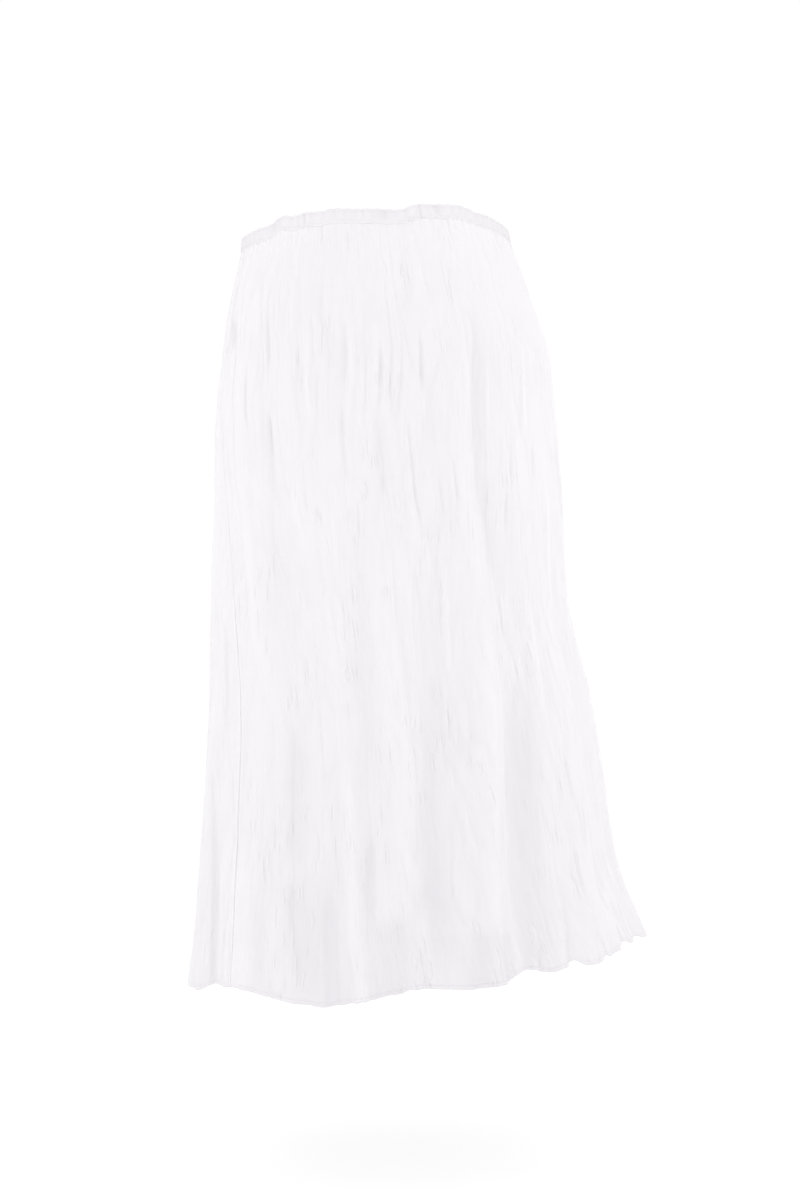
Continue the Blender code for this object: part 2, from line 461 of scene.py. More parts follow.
@dataclass(frozen=True)
class Crinkles:
    """The pressed-in crinkles: thin broken troughs between uneven crests, which wander and fade."""

    wide_wander: PatchNoise = PatchNoise(11, 26, 0.16)
    close_wander: PatchNoise = PatchNoise(12, 90, 0.045)
    wide_swing: float = 0.030
    close_swing: float = 0.010
    lines: PatchNoise = PatchNoise(16, 118, 0.062)
    fine_lines: PatchNoise = PatchNoise(17, 196, 0.036)
    swells: PatchNoise = PatchNoise(18, 60, 0.13)
    strength: PatchNoise = PatchNoise(13, 40, 0.070)
    drape: PatchNoise = PatchNoise(15, 28, 0.22)
    line_depth: float = 0.0011
    line_width: float = 0.26
    fine_depth: float = 0.0005
    fine_width: float = 0.30
    swell_depth: float = 0.0010
    drape_depth: float = 0.0011
    waist_share: float = 0.55
    waist_fades: Pair = (0.02, 0.18)
    hem_share: float = 1.35
    hem_starts: float = 0.35
    mean_strength: float = 0.70
    uneven_strength: float = 0.80
    line_level: float = 0.5
    fine_level: float = 0.6
    fine_balance: float = 1.5
    calm_patches: tuple[CalmPatch, ...] = CALM_PATCHES

    def relief(self, form: SkirtForm, turn: Grid, drop: Grid) -> Relief:
        """The crinkles' relief.

        Args:
            form: The skirt's form, which says where the cloth is squeezed together.
            turn: Turns at the waist.
            drop: Drops of the same shape.

        Returns:
            The relief at each place.
        """
        grain = form.grain(turn, drop) + self.wide_swing * self.wide_wander.at(turn, drop)
        grain = grain + self.close_swing * self.close_wander.at(turn, drop)
        opened = smooth(drop, *self.waist_fades)
        share = self.waist_share + (1.0 - self.waist_share) * opened
        share = share + (self.hem_share - 1.0) * smooth(drop, self.hem_starts, form.skirt_drop)
        share = share * form.squeeze(turn, drop)
        uneven = self.mean_strength + self.uneven_strength * self.strength.at(grain, drop)
        for calm in self.calm_patches:
            share = share * calm.share_left(turn, drop)
        troughs = bell(self.lines.at(grain, drop), self.line_width)
        fine = bell(self.fine_lines.at(grain, drop), self.fine_width)
        depth = self.line_depth * uneven * (troughs - self.line_level)
        depth = depth + self.fine_depth * (self.fine_balance - uneven) * (fine - self.fine_level)
        swell = self.swell_depth * self.swells.at(grain, drop) * share
        drape = self.drape_depth * self.drape.at(grain, drop) * opened
        still = np.zeros_like(grain)
        return Relief(swell + drape - depth * share, still, still, depth * share)


def creases(kind: Kind, steep: Steep, rows: tuple[tuple[float, ...], ...]) -> tuple[Crease, ...]:
    """Creases of one kind, from rows of the first six fields and, where there is one, the lap."""
    return tuple(Crease(*row[:6], kind, steep, *row[6:]) for row in rows)


CREASES = (
    # The viewer's left side of the front
    *creases(Kind.TROUGH, Steep.NEITHER, (
        (-88, 0.100, -85, 0.136, 0.0050, 0.0042), (-63.5, 0.104, -63, 0.162, 0.0017, 0.0024),
        (-63, 0.218, -65, 0.264, 0.0016, 0.0018), (-73.6, 0.172, -74, 0.228, 0.0017, 0.0018),
        (-67, 0.752, -67, 0.868, 0.0052, 0.0042), (-83, 0.700, -83, 0.868, 0.0130, 0.0014),
        (-44, 0.420, -45, 0.560, 0.0035, 0.0009), (-41, 0.690, -43, 0.800, 0.0040, 0.0030),
        (-71.5, 0.715, -71, 0.868, 0.0190, 0.0024), (-61.5, 0.600, -63, 0.780, 0.0140, 0.0012),
    )),
    *creases(Kind.TROUGH, Steep.LEFT, (
        (-65, 0.206, -66.5, 0.336, 0.0050, 0.0016), (-70, 0.338, -74, 0.470, 0.0080, 0.0008),
        (-76, 0.570, -76.5, 0.716, 0.0080, 0.0026), (-77, 0.738, -74.5, 0.846, 0.0042, 0.0026),
    )),
    *creases(Kind.RIDGE, Steep.NEITHER, (
        (-81, 0.330, -83, 0.520, 0.0055, 0.0022), (-58, 0.280, -59, 0.395, 0.0045, 0.0010),
        (-47, 0.150, -46, 0.232, 0.0022, 0.0015), (-37, 0.270, -50, 0.500, 0.0280, 0.0011),
        (-79, 0.440, -80, 0.580, 0.0140, 0.0010), (-48, 0.420, -56, 0.600, 0.0180, 0.0011),
        (-89, 0.720, -90, 0.868, 0.0110, 0.0014),
    )),
    *creases(Kind.RIDGE, Steep.RIGHT, (
        (-84, 0.640, -86, 0.868, 0.0065, 0.0010), (-56, 0.610, -54, 0.868, 0.0060, 0.0036),
    )),
    # The middle of the front
    *creases(Kind.TROUGH, Steep.NEITHER, (
        (-38, 0.010, -38, 0.110, 0.0180, 0.0003), (-33, 0.124, -33.5, 0.196, 0.0023, 0.0019),
        (-34.4, 0.214, -35.6, 0.304, 0.0020, 0.0017), (-21.6, 0.160, -21.6, 0.198, 0.0017, 0.0019),
        (-21.5, 0.232, -23, 0.325, 0.0050, 0.0017), (-28.5, 0.790, -32, 0.868, 0.0120, 0.0044),
        (-13, 0.238, -12, 0.308, 0.0015, 0.0016), (-12.6, 0.300, -10.4, 0.352, 0.0015, 0.0017),
        (-8, 0.142, -8, 0.200, 0.0015, 0.0022), (-4.4, 0.812, -7.1, 0.868, 0.0095, 0.0044),
        (-4, 0.300, -2.6, 0.348, 0.0016, 0.0015), (1.0, 0.280, 2.2, 0.332, 0.0015, 0.0016),
    )),
    *creases(Kind.RIDGE, Steep.NEITHER, (
        (-17, 0.020, -17, 0.110, 0.0220, 0.0007), (-31, 0.150, -33, 0.290, 0.0200, 0.0007),
        (-31, 0.130, -31, 0.200, 0.0025, 0.0015), (-22.5, 0.126, -23.4, 0.234, 0.0028, 0.0017),
        (-25.5, 0.400, -21.9, 0.770, 0.0080, 0.0027), (-17.5, 0.330, -17.5, 0.450, 0.0200, 0.0009),
        (-3, 0.420, -4, 0.530, 0.0032, 0.0020),
    )),
    *creases(Kind.TROUGH, Steep.LEFT, (
        (-33, 0.340, -35, 0.510, 0.0050, 0.0009), (-38, 0.470, -40, 0.640, 0.0080, 0.0011),
        (-11, 0.530, -18, 0.800, 0.0125, 0.0024), (-15, 0.730, -17.4, 0.860, 0.0080, 0.0030),
    )),
    # The viewer's right side of the front, with the lapped edges of the deep fold and the hem
    *creases(Kind.RIDGE, Steep.NEITHER, (
        (9, 0.172, 8, 0.238, 0.0025, 0.0016), (17, 0.172, 15.5, 0.262, 0.0025, 0.0017),
        (25, 0.600, 22, 0.780, 0.0120, 0.0010), (34, 0.152, 31.5, 0.250, 0.0023, 0.0021),
        (29, 0.440, 27, 0.590, 0.0045, 0.0024), (44, 0.330, 43, 0.470, 0.0040, 0.0022),
    )),
    *creases(Kind.TROUGH, Steep.LEFT, (
        (12.5, 0.120, 10.5, 0.330, 0.0062, 0.0028), (17.8, 0.560, 9.8, 0.868, 0.0165, 0.0046),
    )),
    *creases(Kind.TROUGH, Steep.NEITHER, (
        (12, 0.306, 16, 0.420, 0.0070, 0.0026), (2.5, 0.815, 1.5, 0.868, 0.0120, 0.0034),
        (4.5, 0.580, -0.5, 0.868, 0.0160, 0.0012), (-5.5, 0.680, -6.5, 0.800, 0.0110, 0.0010),
        (21.5, 0.322, 21, 0.364, 0.0015, 0.0014), (25, 0.256, 23.5, 0.310, 0.0016, 0.0018),
        (35.5, 0.270, 34.5, 0.308, 0.0016, 0.0018), (33.5, 0.632, 33.5, 0.684, 0.0017, 0.0020),
        (30.5, 0.736, 31, 0.798, 0.0019, 0.0020), (57, 0.240, 58, 0.370, 0.0035, 0.0020),
        (71, 0.120, 72, 0.215, 0.0026, 0.0020),
    )),
    *creases(Kind.RIDGE, Steep.RIGHT, (
        (9.5, 0.500, -0.6, 0.868, 0.0080, 0.0018, 0.0032),
        (14.5, 0.806, 10.4, 0.868, 0.0034, 0.0042, 0.0026),
        (22.5, 0.816, 18.5, 0.868, 0.0034, 0.0042, 0.0026),
        (44, 0.802, 38, 0.868, 0.0044, 0.0032, 0.0010), (64, 0.500, 62, 0.720, 0.0060, 0.0034),
    )),
    *creases(Kind.RIDGE, Steep.LEFT, (
        (86, 0.560, 84, 0.780, 0.0050, 0.0030),
    )),
    # The hidden back and sides, laid out in the same manner
    *creases(Kind.TROUGH, Steep.NEITHER, (
        (94, 0.130, 95, 0.205, 0.0022, 0.0021), (112, 0.110, 112, 0.160, 0.0017, 0.0023),
        (115, 0.356, 117, 0.412, 0.0018, 0.0020), (136, 0.262, 135, 0.318, 0.0017, 0.0021),
        (138, 0.420, 141, 0.580, 0.0055, 0.0030), (146, 0.770, 148, 0.868, 0.0048, 0.0044),
        (149, 0.120, 148, 0.210, 0.0021, 0.0024), (158, 0.236, 159, 0.292, 0.0018, 0.0022),
        (172, 0.140, 172, 0.190, 0.0018, 0.0020), (179, 0.210, 180, 0.330, 0.0042, 0.0038),
        (183, 0.600, 186, 0.760, 0.0060, 0.0036), (194, 0.270, 193, 0.345, 0.0018, 0.0023),
        (211, 0.230, 210, 0.296, 0.0018, 0.0021), (216, 0.690, 219, 0.868, 0.0055, 0.0044),
        (219, 0.380, 221, 0.500, 0.0048, 0.0026), (226, 0.150, 226, 0.214, 0.0017, 0.0024),
        (232, 0.300, 231, 0.366, 0.0019, 0.0021), (256, 0.210, 257, 0.276, 0.0018, 0.0021),
        (265, 0.450, 264, 0.590, 0.0040, 0.0026),
    )),
    *creases(Kind.TROUGH, Steep.RIGHT, (
        (97, 0.300, 99, 0.430, 0.0050, 0.0028), (162, 0.300, 164, 0.480, 0.0070, 0.0046),
        (167, 0.560, 163, 0.868, 0.0085, 0.0056), (240, 0.240, 242, 0.440, 0.0068, 0.0044),
        (243, 0.620, 238, 0.868, 0.0080, 0.0052),
    )),
    *creases(Kind.RIDGE, Steep.NEITHER, (
        (103, 0.180, 102, 0.262, 0.0026, 0.0018), (107, 0.520, 104, 0.740, 0.0070, 0.0042),
        (131, 0.150, 131, 0.226, 0.0025, 0.0016), (152, 0.330, 151, 0.520, 0.0062, 0.0030),
        (175, 0.380, 174, 0.470, 0.0030, 0.0024), (189, 0.120, 190, 0.200, 0.0024, 0.0017),
        (213, 0.110, 214, 0.182, 0.0020, 0.0019), (244, 0.700, 244, 0.868, 0.0200, 0.0030),
        (244, 0.830, 245, 0.868, 0.0160, 0.0050), (247, 0.130, 248, 0.200, 0.0024, 0.0018),
        (252, 0.340, 251, 0.530, 0.0050, 0.0028),
    )),
    *creases(Kind.TROUGH, Steep.LEFT, (
        (119, 0.210, 121, 0.390, 0.0066, 0.0044), (124, 0.600, 121, 0.868, 0.0085, 0.0058),
        (202, 0.160, 203, 0.340, 0.0062, 0.0052), (204, 0.580, 199, 0.868, 0.0090, 0.0060),
        (259, 0.640, 262, 0.868, 0.0062, 0.0044),
    )),
    *creases(Kind.RIDGE, Steep.LEFT, (
        (129, 0.640, 126, 0.868, 0.0080, 0.0046, 0.0028),
        (187, 0.800, 184, 0.868, 0.0036, 0.0042, 0.0024),
    )),
    *creases(Kind.RIDGE, Steep.RIGHT, (
        (160, 0.620, 157, 0.840, 0.0075, 0.0044, 0.0026), (197, 0.450, 194, 0.700, 0.0078, 0.0042),
        (229, 0.540, 233, 0.800, 0.0070, 0.0042),
    )),
)

HEM_STEPS = tuple(EdgeStep(turn, lower) for turn, lower in (
    (-112, 0.0030), (-106, -0.0010), (-98, 0.0014), (-90, 0.0000), (-85, -0.0036), (-75, -0.0030),
    (-66, -0.0052), (-61, -0.0058), (-54, -0.0045), (-50, -0.0022), (-47, -0.0014), (-44, 0.0016),
    (-40, 0.0002), (-36, 0.0006), (-27, 0.0005), (-22, 0.0007), (-14, 0.0065), (-6, 0.0090),
    (0, 0.0037), (7, -0.0078), (12, -0.0054), (16, -0.0020), (18.5, -0.0062), (21, -0.0095),
    (25, -0.0010), (29, 0.0034), (31.5, -0.0008), (35, 0.0048), (38.5, 0.0022), (41, -0.0026),
    (45, 0.0030), (49, 0.0052), (52, 0.0010), (58, 0.0030), (66, -0.0030), (74, 0.0018), (83, 0.0030),
    (90, -0.0008), (97, -0.0034), (110, 0.0040), (122, -0.0060), (129, -0.0012), (135, 0.0022),
    (143, 0.0008), (150, 0.0058), (158, 0.0010), (166, -0.0056), (178, 0.0012), (190, 0.0050),
    (196, 0.0004), (202, -0.0066), (214, 0.0018), (221, 0.0002), (228, 0.0052), (234, 0.0016),
    (241, -0.0048), (248, 0.0030),
))

RIM_STEPS = tuple(EdgeStep(turn, lower) for turn, lower in (
    (-110, 0.0020), (-92, 0.0030), (-78, 0.0020), (-68, 0.0018), (-61, -0.0038), (-54, -0.0008),
    (-48, -0.0022), (-43, -0.0006), (-37, -0.0016), (-27, 0.0014), (-18, 0.0028), (-8, 0.0038),
    (-2.5, -0.0014), (5, -0.0030), (12, -0.0042), (20, -0.0050), (27, -0.0012), (36, 0.0000),
    (46, 0.0026), (58, 0.0050), (78, 0.0022), (96, -0.0014), (118, 0.0018), (139, -0.0020),
    (160, 0.0012), (181, -0.0018), (204, 0.0016), (227, -0.0014), (250, 0.0020),
))


def edge_lowered(steps: tuple[EdgeStep, ...], turn: Grid) -> Grid:
    """How far an edge hangs below its smooth line.

    Args:
        steps: The edge's table, from its lowest turn to the same place a full turn on.
        turn: Turns in radians.

    Returns:
        Metres at each turn.
    """
    turns = np.radians([step.turn for step in steps])
    lowered = np.array([step.lower for step in steps])
    return through_rows(turns, lowered, (turn - turns[0]) % FULL_TURN + turns[0])


@dataclass(frozen=True)
class HandCreases:
    """The creases that are listed one by one, as soft troughs and ridges."""

    form: SkirtForm
    creases: tuple[Crease, ...] = CREASES
    run_out: float = 0.30
    shortest_run_out: float = 0.008

    def relief(self, turn: Grid, drop: Grid) -> Relief:
        """The creases' relief.

        Args:
            turn: Turns at the waist.
            drop: Drops of the same shape.

        Returns:
            The relief at each place.
        """
        reach = self.form.reach(turn, drop)
        out, shift = np.zeros_like(reach), np.zeros_like(reach)
        for crease in self.creases:
            length = crease.low_drop - crease.drop
            centre = crease.turn + (crease.low_turn - crease.turn) * (drop - crease.drop) / length
            away = turned_from(turn, np.radians(centre)) * reach / crease.half_width
            run = max(length * self.run_out, self.shortest_run_out)
            share = bell(away / self.form.flank(away, crease.steep))
            share = share * smooth(drop, crease.drop - run / 2, crease.drop + run)
            if crease.low_drop < self.form.skirt_drop:
                share = share * (1.0 - smooth(drop, crease.low_drop - run, crease.low_drop + run / 2))
            out += crease.kind.value * crease.depth * share
            shift += crease.steep.value * crease.lap * share
        return Relief(out, shift, np.zeros_like(out), -out)


def quads(corners: tuple[Grid, ...]) -> Faces:
    """Faces from four equal sets of corners."""
    return np.stack([corner.ravel() for corner in corners], axis=-1).tolist()


def tube_faces(rows: int, columns: int, closed_rows: bool) -> Faces:
    """Quads over a grid of points whose last column meets its first.

    Args:
        rows: How many rows the grid has.
        columns: How many columns it has.
        closed_rows: Whether the last row meets the first as well.

    Returns:
        Four point numbers a face.
    """
    bands = rows if closed_rows else rows - 1
    row, column = np.meshgrid(np.arange(bands), np.arange(columns), indexing="ij")
    here, below = row * columns, (row + 1) % rows * columns
    ahead = (column + 1) % columns
    return quads((here + column, below + column, below + ahead, here + ahead))


def shell_faces(rows: int, columns: int) -> Faces:
    """Quads of a closed thin shell between an outer and an inner grid of points.

    Args:
        rows: How many rows each grid has.
        columns: How many columns each grid has.

    Returns:
        Four point numbers a face, the rim's faces last. The inner grid's numbers follow the outer's.
    """
    outer = np.arange(rows * columns).reshape(rows, columns)
    inner = outer + rows * columns
    sides = (
        (outer[:-1, :-1], outer[1:, :-1], outer[1:, 1:], outer[:-1, 1:]),
        (inner[:-1, :-1], inner[:-1, 1:], inner[1:, 1:], inner[1:, :-1]),
        (outer[0, :-1], outer[0, 1:], inner[0, 1:], inner[0, :-1]),
        (inner[-1, :-1], inner[-1, 1:], outer[-1, 1:], outer[-1, :-1]),
        (inner[:-1, 0], inner[1:, 0], outer[1:, 0], outer[:-1, 0]),
        (outer[:-1, -1], outer[1:, -1], inner[1:, -1], inner[:-1, -1]),
    )
    return [face for side in sides for face in quads(side)]


def grid_normals(points: Grid) -> Grid:
    """Unit vectors that stand on rows of points, the top row first, towards the skirt's outside."""
    return unit(np.cross(np.gradient(points, axis=0), np.gradient(points, axis=1)))


def placed(name: str, data: bpy.types.ID) -> bpy.types.Object:
    """A new object in the scene.

    Args:
        name: The object's name.
        data: The mesh, lamp or camera that it holds.

    Returns:
        The object.
    """
    held = bpy.data.objects.new(name, data)
    bpy.context.scene.collection.objects.link(held)
    return held


def add_mesh(
    name: str, points: Grid, faces: list[Any], material: bpy.types.Material, flat_faces: int = 0
) -> bpy.types.Object:
    """One smooth mesh piece.

    Args:
        name: The piece's name.
        points: x, y and z of every point.
        faces: Point numbers, face by face.
        material: Its finish.
        flat_faces: How many of the last faces are shaded flat.

    Returns:
        The new object, in the scene.
    """
    mesh = bpy.data.meshes.new(name)
    mesh.from_pydata(points.reshape(-1, 3).tolist(), [], faces)
    mesh.update()
    mesh.polygons.foreach_set("use_smooth", np.arange(len(faces)) < len(faces) - flat_faces)
    mesh.materials.append(material)
    return placed(name, mesh)


def lay_grain(piece: bpy.types.Object, across: Grid, down: Grid, hollow: Grid) -> None:
    """Store where each point lies in the flat cloth, and how much painted shade its colour gets.

    Args:
        piece: The mesh piece.
        across: Metres across the cloth, one a point on one side of it.
        down: Metres down the cloth, one a point.
        hollow: Painted shade, from 0 on a crest to 1 in a trough, one a point, less where painted light
            is added.
    """
    sides = len(piece.data.vertices) // across.size
    grain = np.stack([across.ravel(), down.ravel(), np.zeros(across.size)], axis=-1)
    stored = (("cloth", "FLOAT_VECTOR", "vector", grain), ("hollow", "FLOAT", "value", hollow))
    for name, kind, field, values in stored:
        made = piece.data.attributes.new(name, kind, "POINT")
        made.data.foreach_set(field, np.tile(values.ravel(), sides))


class Wire:
    """A socket that takes part in sums: each operator adds its Math node."""

    def __init__(self, bench: "NodeBench", socket: bpy.types.NodeSocket) -> None:
        """Keep the socket and the bench that its nodes stand on."""
        self.bench = bench
        self.socket = socket

    def math(self, operation: str, first: Any, second: Any) -> "Wire":
        """The result of one Math node on two wires or numbers."""
        return self.bench.node("ShaderNodeMath", {"operation": operation}, {0: first, 1: second})

    def __add__(self, other: Any) -> "Wire":
        """The sum."""
        return self.math("ADD", self, other)

    def __sub__(self, other: Any) -> "Wire":
        """The difference."""
        return self.math("SUBTRACT", self, other)

    def __rsub__(self, other: Any) -> "Wire":
        """The difference from a number."""
        return self.math("SUBTRACT", other, self)

    def __mul__(self, other: Any) -> "Wire":
        """The product."""
        return self.math("MULTIPLY", self, other)

    __radd__ = __add__
    __rmul__ = __mul__


class NodeBench:
    """A new material while its nodes are being made."""

    def __init__(self, name: str) -> None:
        """Start an empty node material."""
        self.material = bpy.data.materials.new(name)
        self.material.use_nodes = True
        self.tree = self.material.node_tree

    def feed(self, node: bpy.types.Node, values: dict[Any, Any]) -> None:
        """Link wires to a node's sockets and set its other values.

        Args:
            node: The node.
            values: Numbers, vectors, colours or wires by input socket.
        """
        for socket, value in values.items():
            if isinstance(value, Wire):
                self.tree.links.new(value.socket, node.inputs[socket])
            else:
                node.inputs[socket].default_value = value

    def finished(self, sockets: dict[str, Any]) -> bpy.types.Material:
        """Feed the material's own shader, and hand the material over."""
        self.feed(self.tree.nodes["Principled BSDF"], sockets)
        return self.material

    def node(
        self, kind: str, settings: dict[str, Any], values: dict[int | str, Any], out: int | str = 0
    ) -> Wire:
        """One node.

        Args:
            kind: Blender's type name.
            settings: Properties, set first. stops gives a ramp's places and greys.
            values: Numbers, vectors, colours or wires by input socket.
            out: The output socket to return.

        Returns:
            The chosen output as a wire.
        """
        made = self.tree.nodes.new(kind)
        for name, setting in settings.items():
            if name != "stops":
                setattr(made, name, setting)
                continue
            for stop, (place, grey) in zip(made.color_ramp.elements, setting):
                stop.position, stop.color = place, (grey, grey, grey, 1.0)
        self.feed(made, values)
        return Wire(self, made.outputs[out])

    def stored(self, name: str, out: str) -> Wire:
        """What lay_grain stored under a name."""
        return self.node("ShaderNodeAttribute", {"attribute_name": name}, {}, out)

    def bumps(self, height: Wire, strength: float, distance: float) -> Wire:
        """The normal of a surface with a height on it."""
        values = {"Strength": strength, "Distance": distance, "Height": height}
        return self.node("ShaderNodeBump", {}, values, "Normal")

    def above(self, value: Wire, start: float, end: float) -> Wire:
        """0 below start, 1 above end."""
        stops = ((start, 0.0), (end, 1.0))
        return self.node("ShaderNodeValToRGB", {"stops": stops}, {0: value})

    def shades(self, factor: Wire, first: Colour, second: Colour) -> Wire:
        """A colour between two others."""
        colours = {0: factor, 6: (*first, 1.0), 7: (*second, 1.0)}
        return self.node("ShaderNodeMix", {"data_type": "RGBA"}, colours, 2)


@dataclass(frozen=True)
class Streaks:
    """Noise drawn out over the cloth: how often it changes in a metre across and down.

    detail is how many finer layers it has, and seed says which part of the noise is read.
    """

    across: float
    down: float
    detail: float
    seed: float

    def over(self, place: Wire, aside: float = 0.0) -> Wire:
        """The noise on a surface.

        Args:
            place: Where the shaded point lies in the cloth, in metres.
            aside: How far across the noise is read, in its own cells.

        Returns:
            Values around one half.
        """
        sizes = {0: place, 1: (self.across, self.down, 1.0), 2: (aside, 0.0, self.seed)}
        scaled = place.bench.node("ShaderNodeVectorMath", {"operation": "MULTIPLY_ADD"}, sizes)
        noise = {"Vector": scaled, "Scale": 1.0, "Detail": self.detail}
        return place.bench.node("ShaderNodeTexNoise", {}, noise)


@dataclass(frozen=True)
class GauzeFinish:
    """White cotton gauze: thin uneven threads both ways, fine crimps, and painted shade in its troughs.

    A nick is a short fine crease: a bumped line with painted shade in it, and a raised lip beside it with
    a painted highlight.
    """

    name: str = "crinkled_white_gauze"
    # trough is the colour of painted shade: the mix moves to it in creases, crimps and nicks, towards the
    # hem and towards the waist
    crest: Colour = (0.827, 0.811, 0.835)
    trough: Colour = (0.667, 0.650, 0.678)
    warp: Streaks = Streaks(780.0, 55.0, 1.0, 0.0)
    weft: Streaks = Streaks(60.0, 780.0, 1.0, 7.3)
    slubs: Streaks = Streaks(24.0, 330.0, 0.0, 19.1)
    crimps: Streaks = Streaks(260.0, 26.0, 2.0, 31.7)
    clouds: Streaks = Streaks(16.0, 6.0, 2.0, 43.9)
    nicked: Streaks = Streaks(30.0, 11.0, 1.0, 71.3)
    nicks: Streaks = Streaks(400.0, 34.0, 0.0, 57.1)
    nicked_from: Pair = (0.52, 0.62)
    nick_from: Pair = (0.66, 0.74)
    nick_aside: float = 0.42
    warp_height: float = 0.22
    weft_height: float = 0.16
    slub_height: float = 0.12
    crimp_height: float = 0.55
    nick_height: float = 0.6
    bump_strength: float = 0.55
    bump_distance: float = 0.0009
    painted_hollow_shade: float = 0.40
    painted_crimp_shade: float = 0.17
    cloud_tone: float = 0.16
    warp_tone: float = 0.06
    painted_nick_shade: float = 0.26
    painted_lip_light: float = 0.28
    lightened: float = 0.08
    painted_shade_to_hem: float = 0.86
    painted_shade_to_waist: float = 0.33
    waist_fades: Pair = (0.012, 0.30)
    roughness: float = 0.82
    warp_roughness: float = 0.14
    sheen: float = 0.12
    sheen_roughness: float = 0.5
    specular: float = 0.25
    light_through: float = 0.4
    light_reach: float = 0.004

    def make(self) -> bpy.types.Material:
        """Build the material.

        Returns:
            The material.
        """
        bench = NodeBench(self.name)
        place, hollow = bench.stored("cloth", "Vector"), bench.stored("hollow", "Fac")
        warp, weft, slubs = self.warp.over(place), self.weft.over(place), self.slubs.over(place)
        crimps, clouds = self.crimps.over(place), self.clouds.over(place)
        # Nicks get painted shade, and their lips a painted highlight, on top of their bumps
        nicked = bench.above(self.nicked.over(place), *self.nicked_from)
        nick = bench.above(self.nicks.over(place), *self.nick_from) * nicked
        lip = bench.above(self.nicks.over(place, self.nick_aside), *self.nick_from) * nicked
        down = bench.node("ShaderNodeSeparateXYZ", {}, {0: place}, "Y")
        height = warp * self.warp_height + weft * self.weft_height + slubs * self.slub_height
        height = height + crimps * self.crimp_height + lip * self.nick_height - nick * self.nick_height
        # Painted shade in creases (the stored hollow) and in the crimps' low places
        shade = hollow * self.painted_hollow_shade + (1.0 - crimps) * self.painted_crimp_shade
        shade = shade + (clouds - 0.5) * self.cloud_tone + (1.0 - warp) * self.warp_tone - self.lightened
        # Painted shade, darker towards the hem; then the nicks' painted shade and their lips' painted
        # highlight
        shade = shade + down * down * down * self.painted_shade_to_hem + nick * self.painted_nick_shade - lip * self.painted_lip_light
        # Painted shade, darker towards the waist
        shade = shade + (1.0 - bench.above(down, *self.waist_fades)) * self.painted_shade_to_waist
        return bench.finished({
            "Base Color": bench.shades(shade, self.crest, self.trough),
            "Normal": bench.bumps(height, self.bump_strength, self.bump_distance),
            "Roughness": self.roughness + warp * self.warp_roughness,
            "Sheen Weight": self.sheen,
            "Sheen Roughness": self.sheen_roughness,
            "Specular IOR Level": self.specular,
            "Subsurface Weight": self.light_through,
            "Subsurface Scale": self.light_reach,
            "Subsurface Radius": (1.0, 1.0, 1.0),
        })


@dataclass(frozen=True)
class CasingFinish:
    """The same gauze, doubled over the elastic: denser, puckered and a little greyer, the grey partly
    painted shade of its gathers.
    """

    name: str = "gathered_double_gauze"
    # Greyer than the gauze: the cloth is doubled, and part of the grey is painted shade of the gathers
    crest: Colour = (0.752, 0.737, 0.760)
    trough: Colour = (0.667, 0.651, 0.677)
    warp: Streaks = Streaks(800.0, 70.0, 1.0, 3.0)
    weft: Streaks = Streaks(70.0, 800.0, 1.0, 9.1)
    puckers: Streaks = Streaks(330.0, 60.0, 2.0, 17.7)
    warp_height: float = 0.2
    weft_height: float = 0.16
    pucker_height: float = 0.9
    bump_strength: float = 0.6
    bump_distance: float = 0.0012
    painted_hollow_shade: float = 0.55
    painted_pucker_shade: float = 0.4
    painted_lip_light: float = 0.12
    lip_drops: Pair = (0.008, 0.0165)
    roughness: float = 0.84
    warp_roughness: float = 0.12
    sheen: float = 0.1
    sheen_roughness: float = 0.5
    specular: float = 0.25

    def make(self) -> bpy.types.Material:
        """Build the material.

        Returns:
            The material.
        """
        bench = NodeBench(self.name)
        place, hollow = bench.stored("cloth", "Vector"), bench.stored("hollow", "Fac")
        warp, weft, puckers = self.warp.over(place), self.weft.over(place), self.puckers.over(place)
        down = bench.node("ShaderNodeSeparateXYZ", {}, {0: place}, "Y")
        height = warp * self.warp_height + weft * self.weft_height + puckers * self.pucker_height
        # Painted shade in the gathers' and dents' hollows and the puckers' low places; painted light
        # towards the lower lip
        shade = hollow * self.painted_hollow_shade + (1.0 - puckers) * self.painted_pucker_shade
        shade = shade - bench.above(down, *self.lip_drops) * self.painted_lip_light
        return bench.finished({
            "Base Color": bench.shades(shade, self.crest, self.trough),
            "Normal": bench.bumps(height, self.bump_strength, self.bump_distance),
            "Roughness": self.roughness + warp * self.warp_roughness,
            "Sheen Weight": self.sheen,
            "Sheen Roughness": self.sheen_roughness,
            "Specular IOR Level": self.specular,
        })


@dataclass(frozen=True)
class ThreadFinish:
    """White sewing thread with its twist."""

    name: str = "white_sewing_thread"
    light: Colour = (0.84, 0.84, 0.85)
    dark: Colour = (0.62, 0.62, 0.64)
    twist: Streaks = Streaks(1900.0, 1900.0, 1.0, 0.0)
    bump_strength: float = 0.4
    bump_distance: float = 0.0002
    roughness: float = 0.6

    def make(self) -> bpy.types.Material:
        """Build the material.

        Returns:
            The material.
        """
        bench = NodeBench(self.name)
        place = bench.node("ShaderNodeTexCoord", {}, {}, "Object")
        strands = self.twist.over(place)
        return bench.finished({
            "Base Color": bench.shades(strands, self.light, self.dark),
            "Normal": bench.bumps(strands, self.bump_strength, self.bump_distance),
            "Roughness": self.roughness,
        })


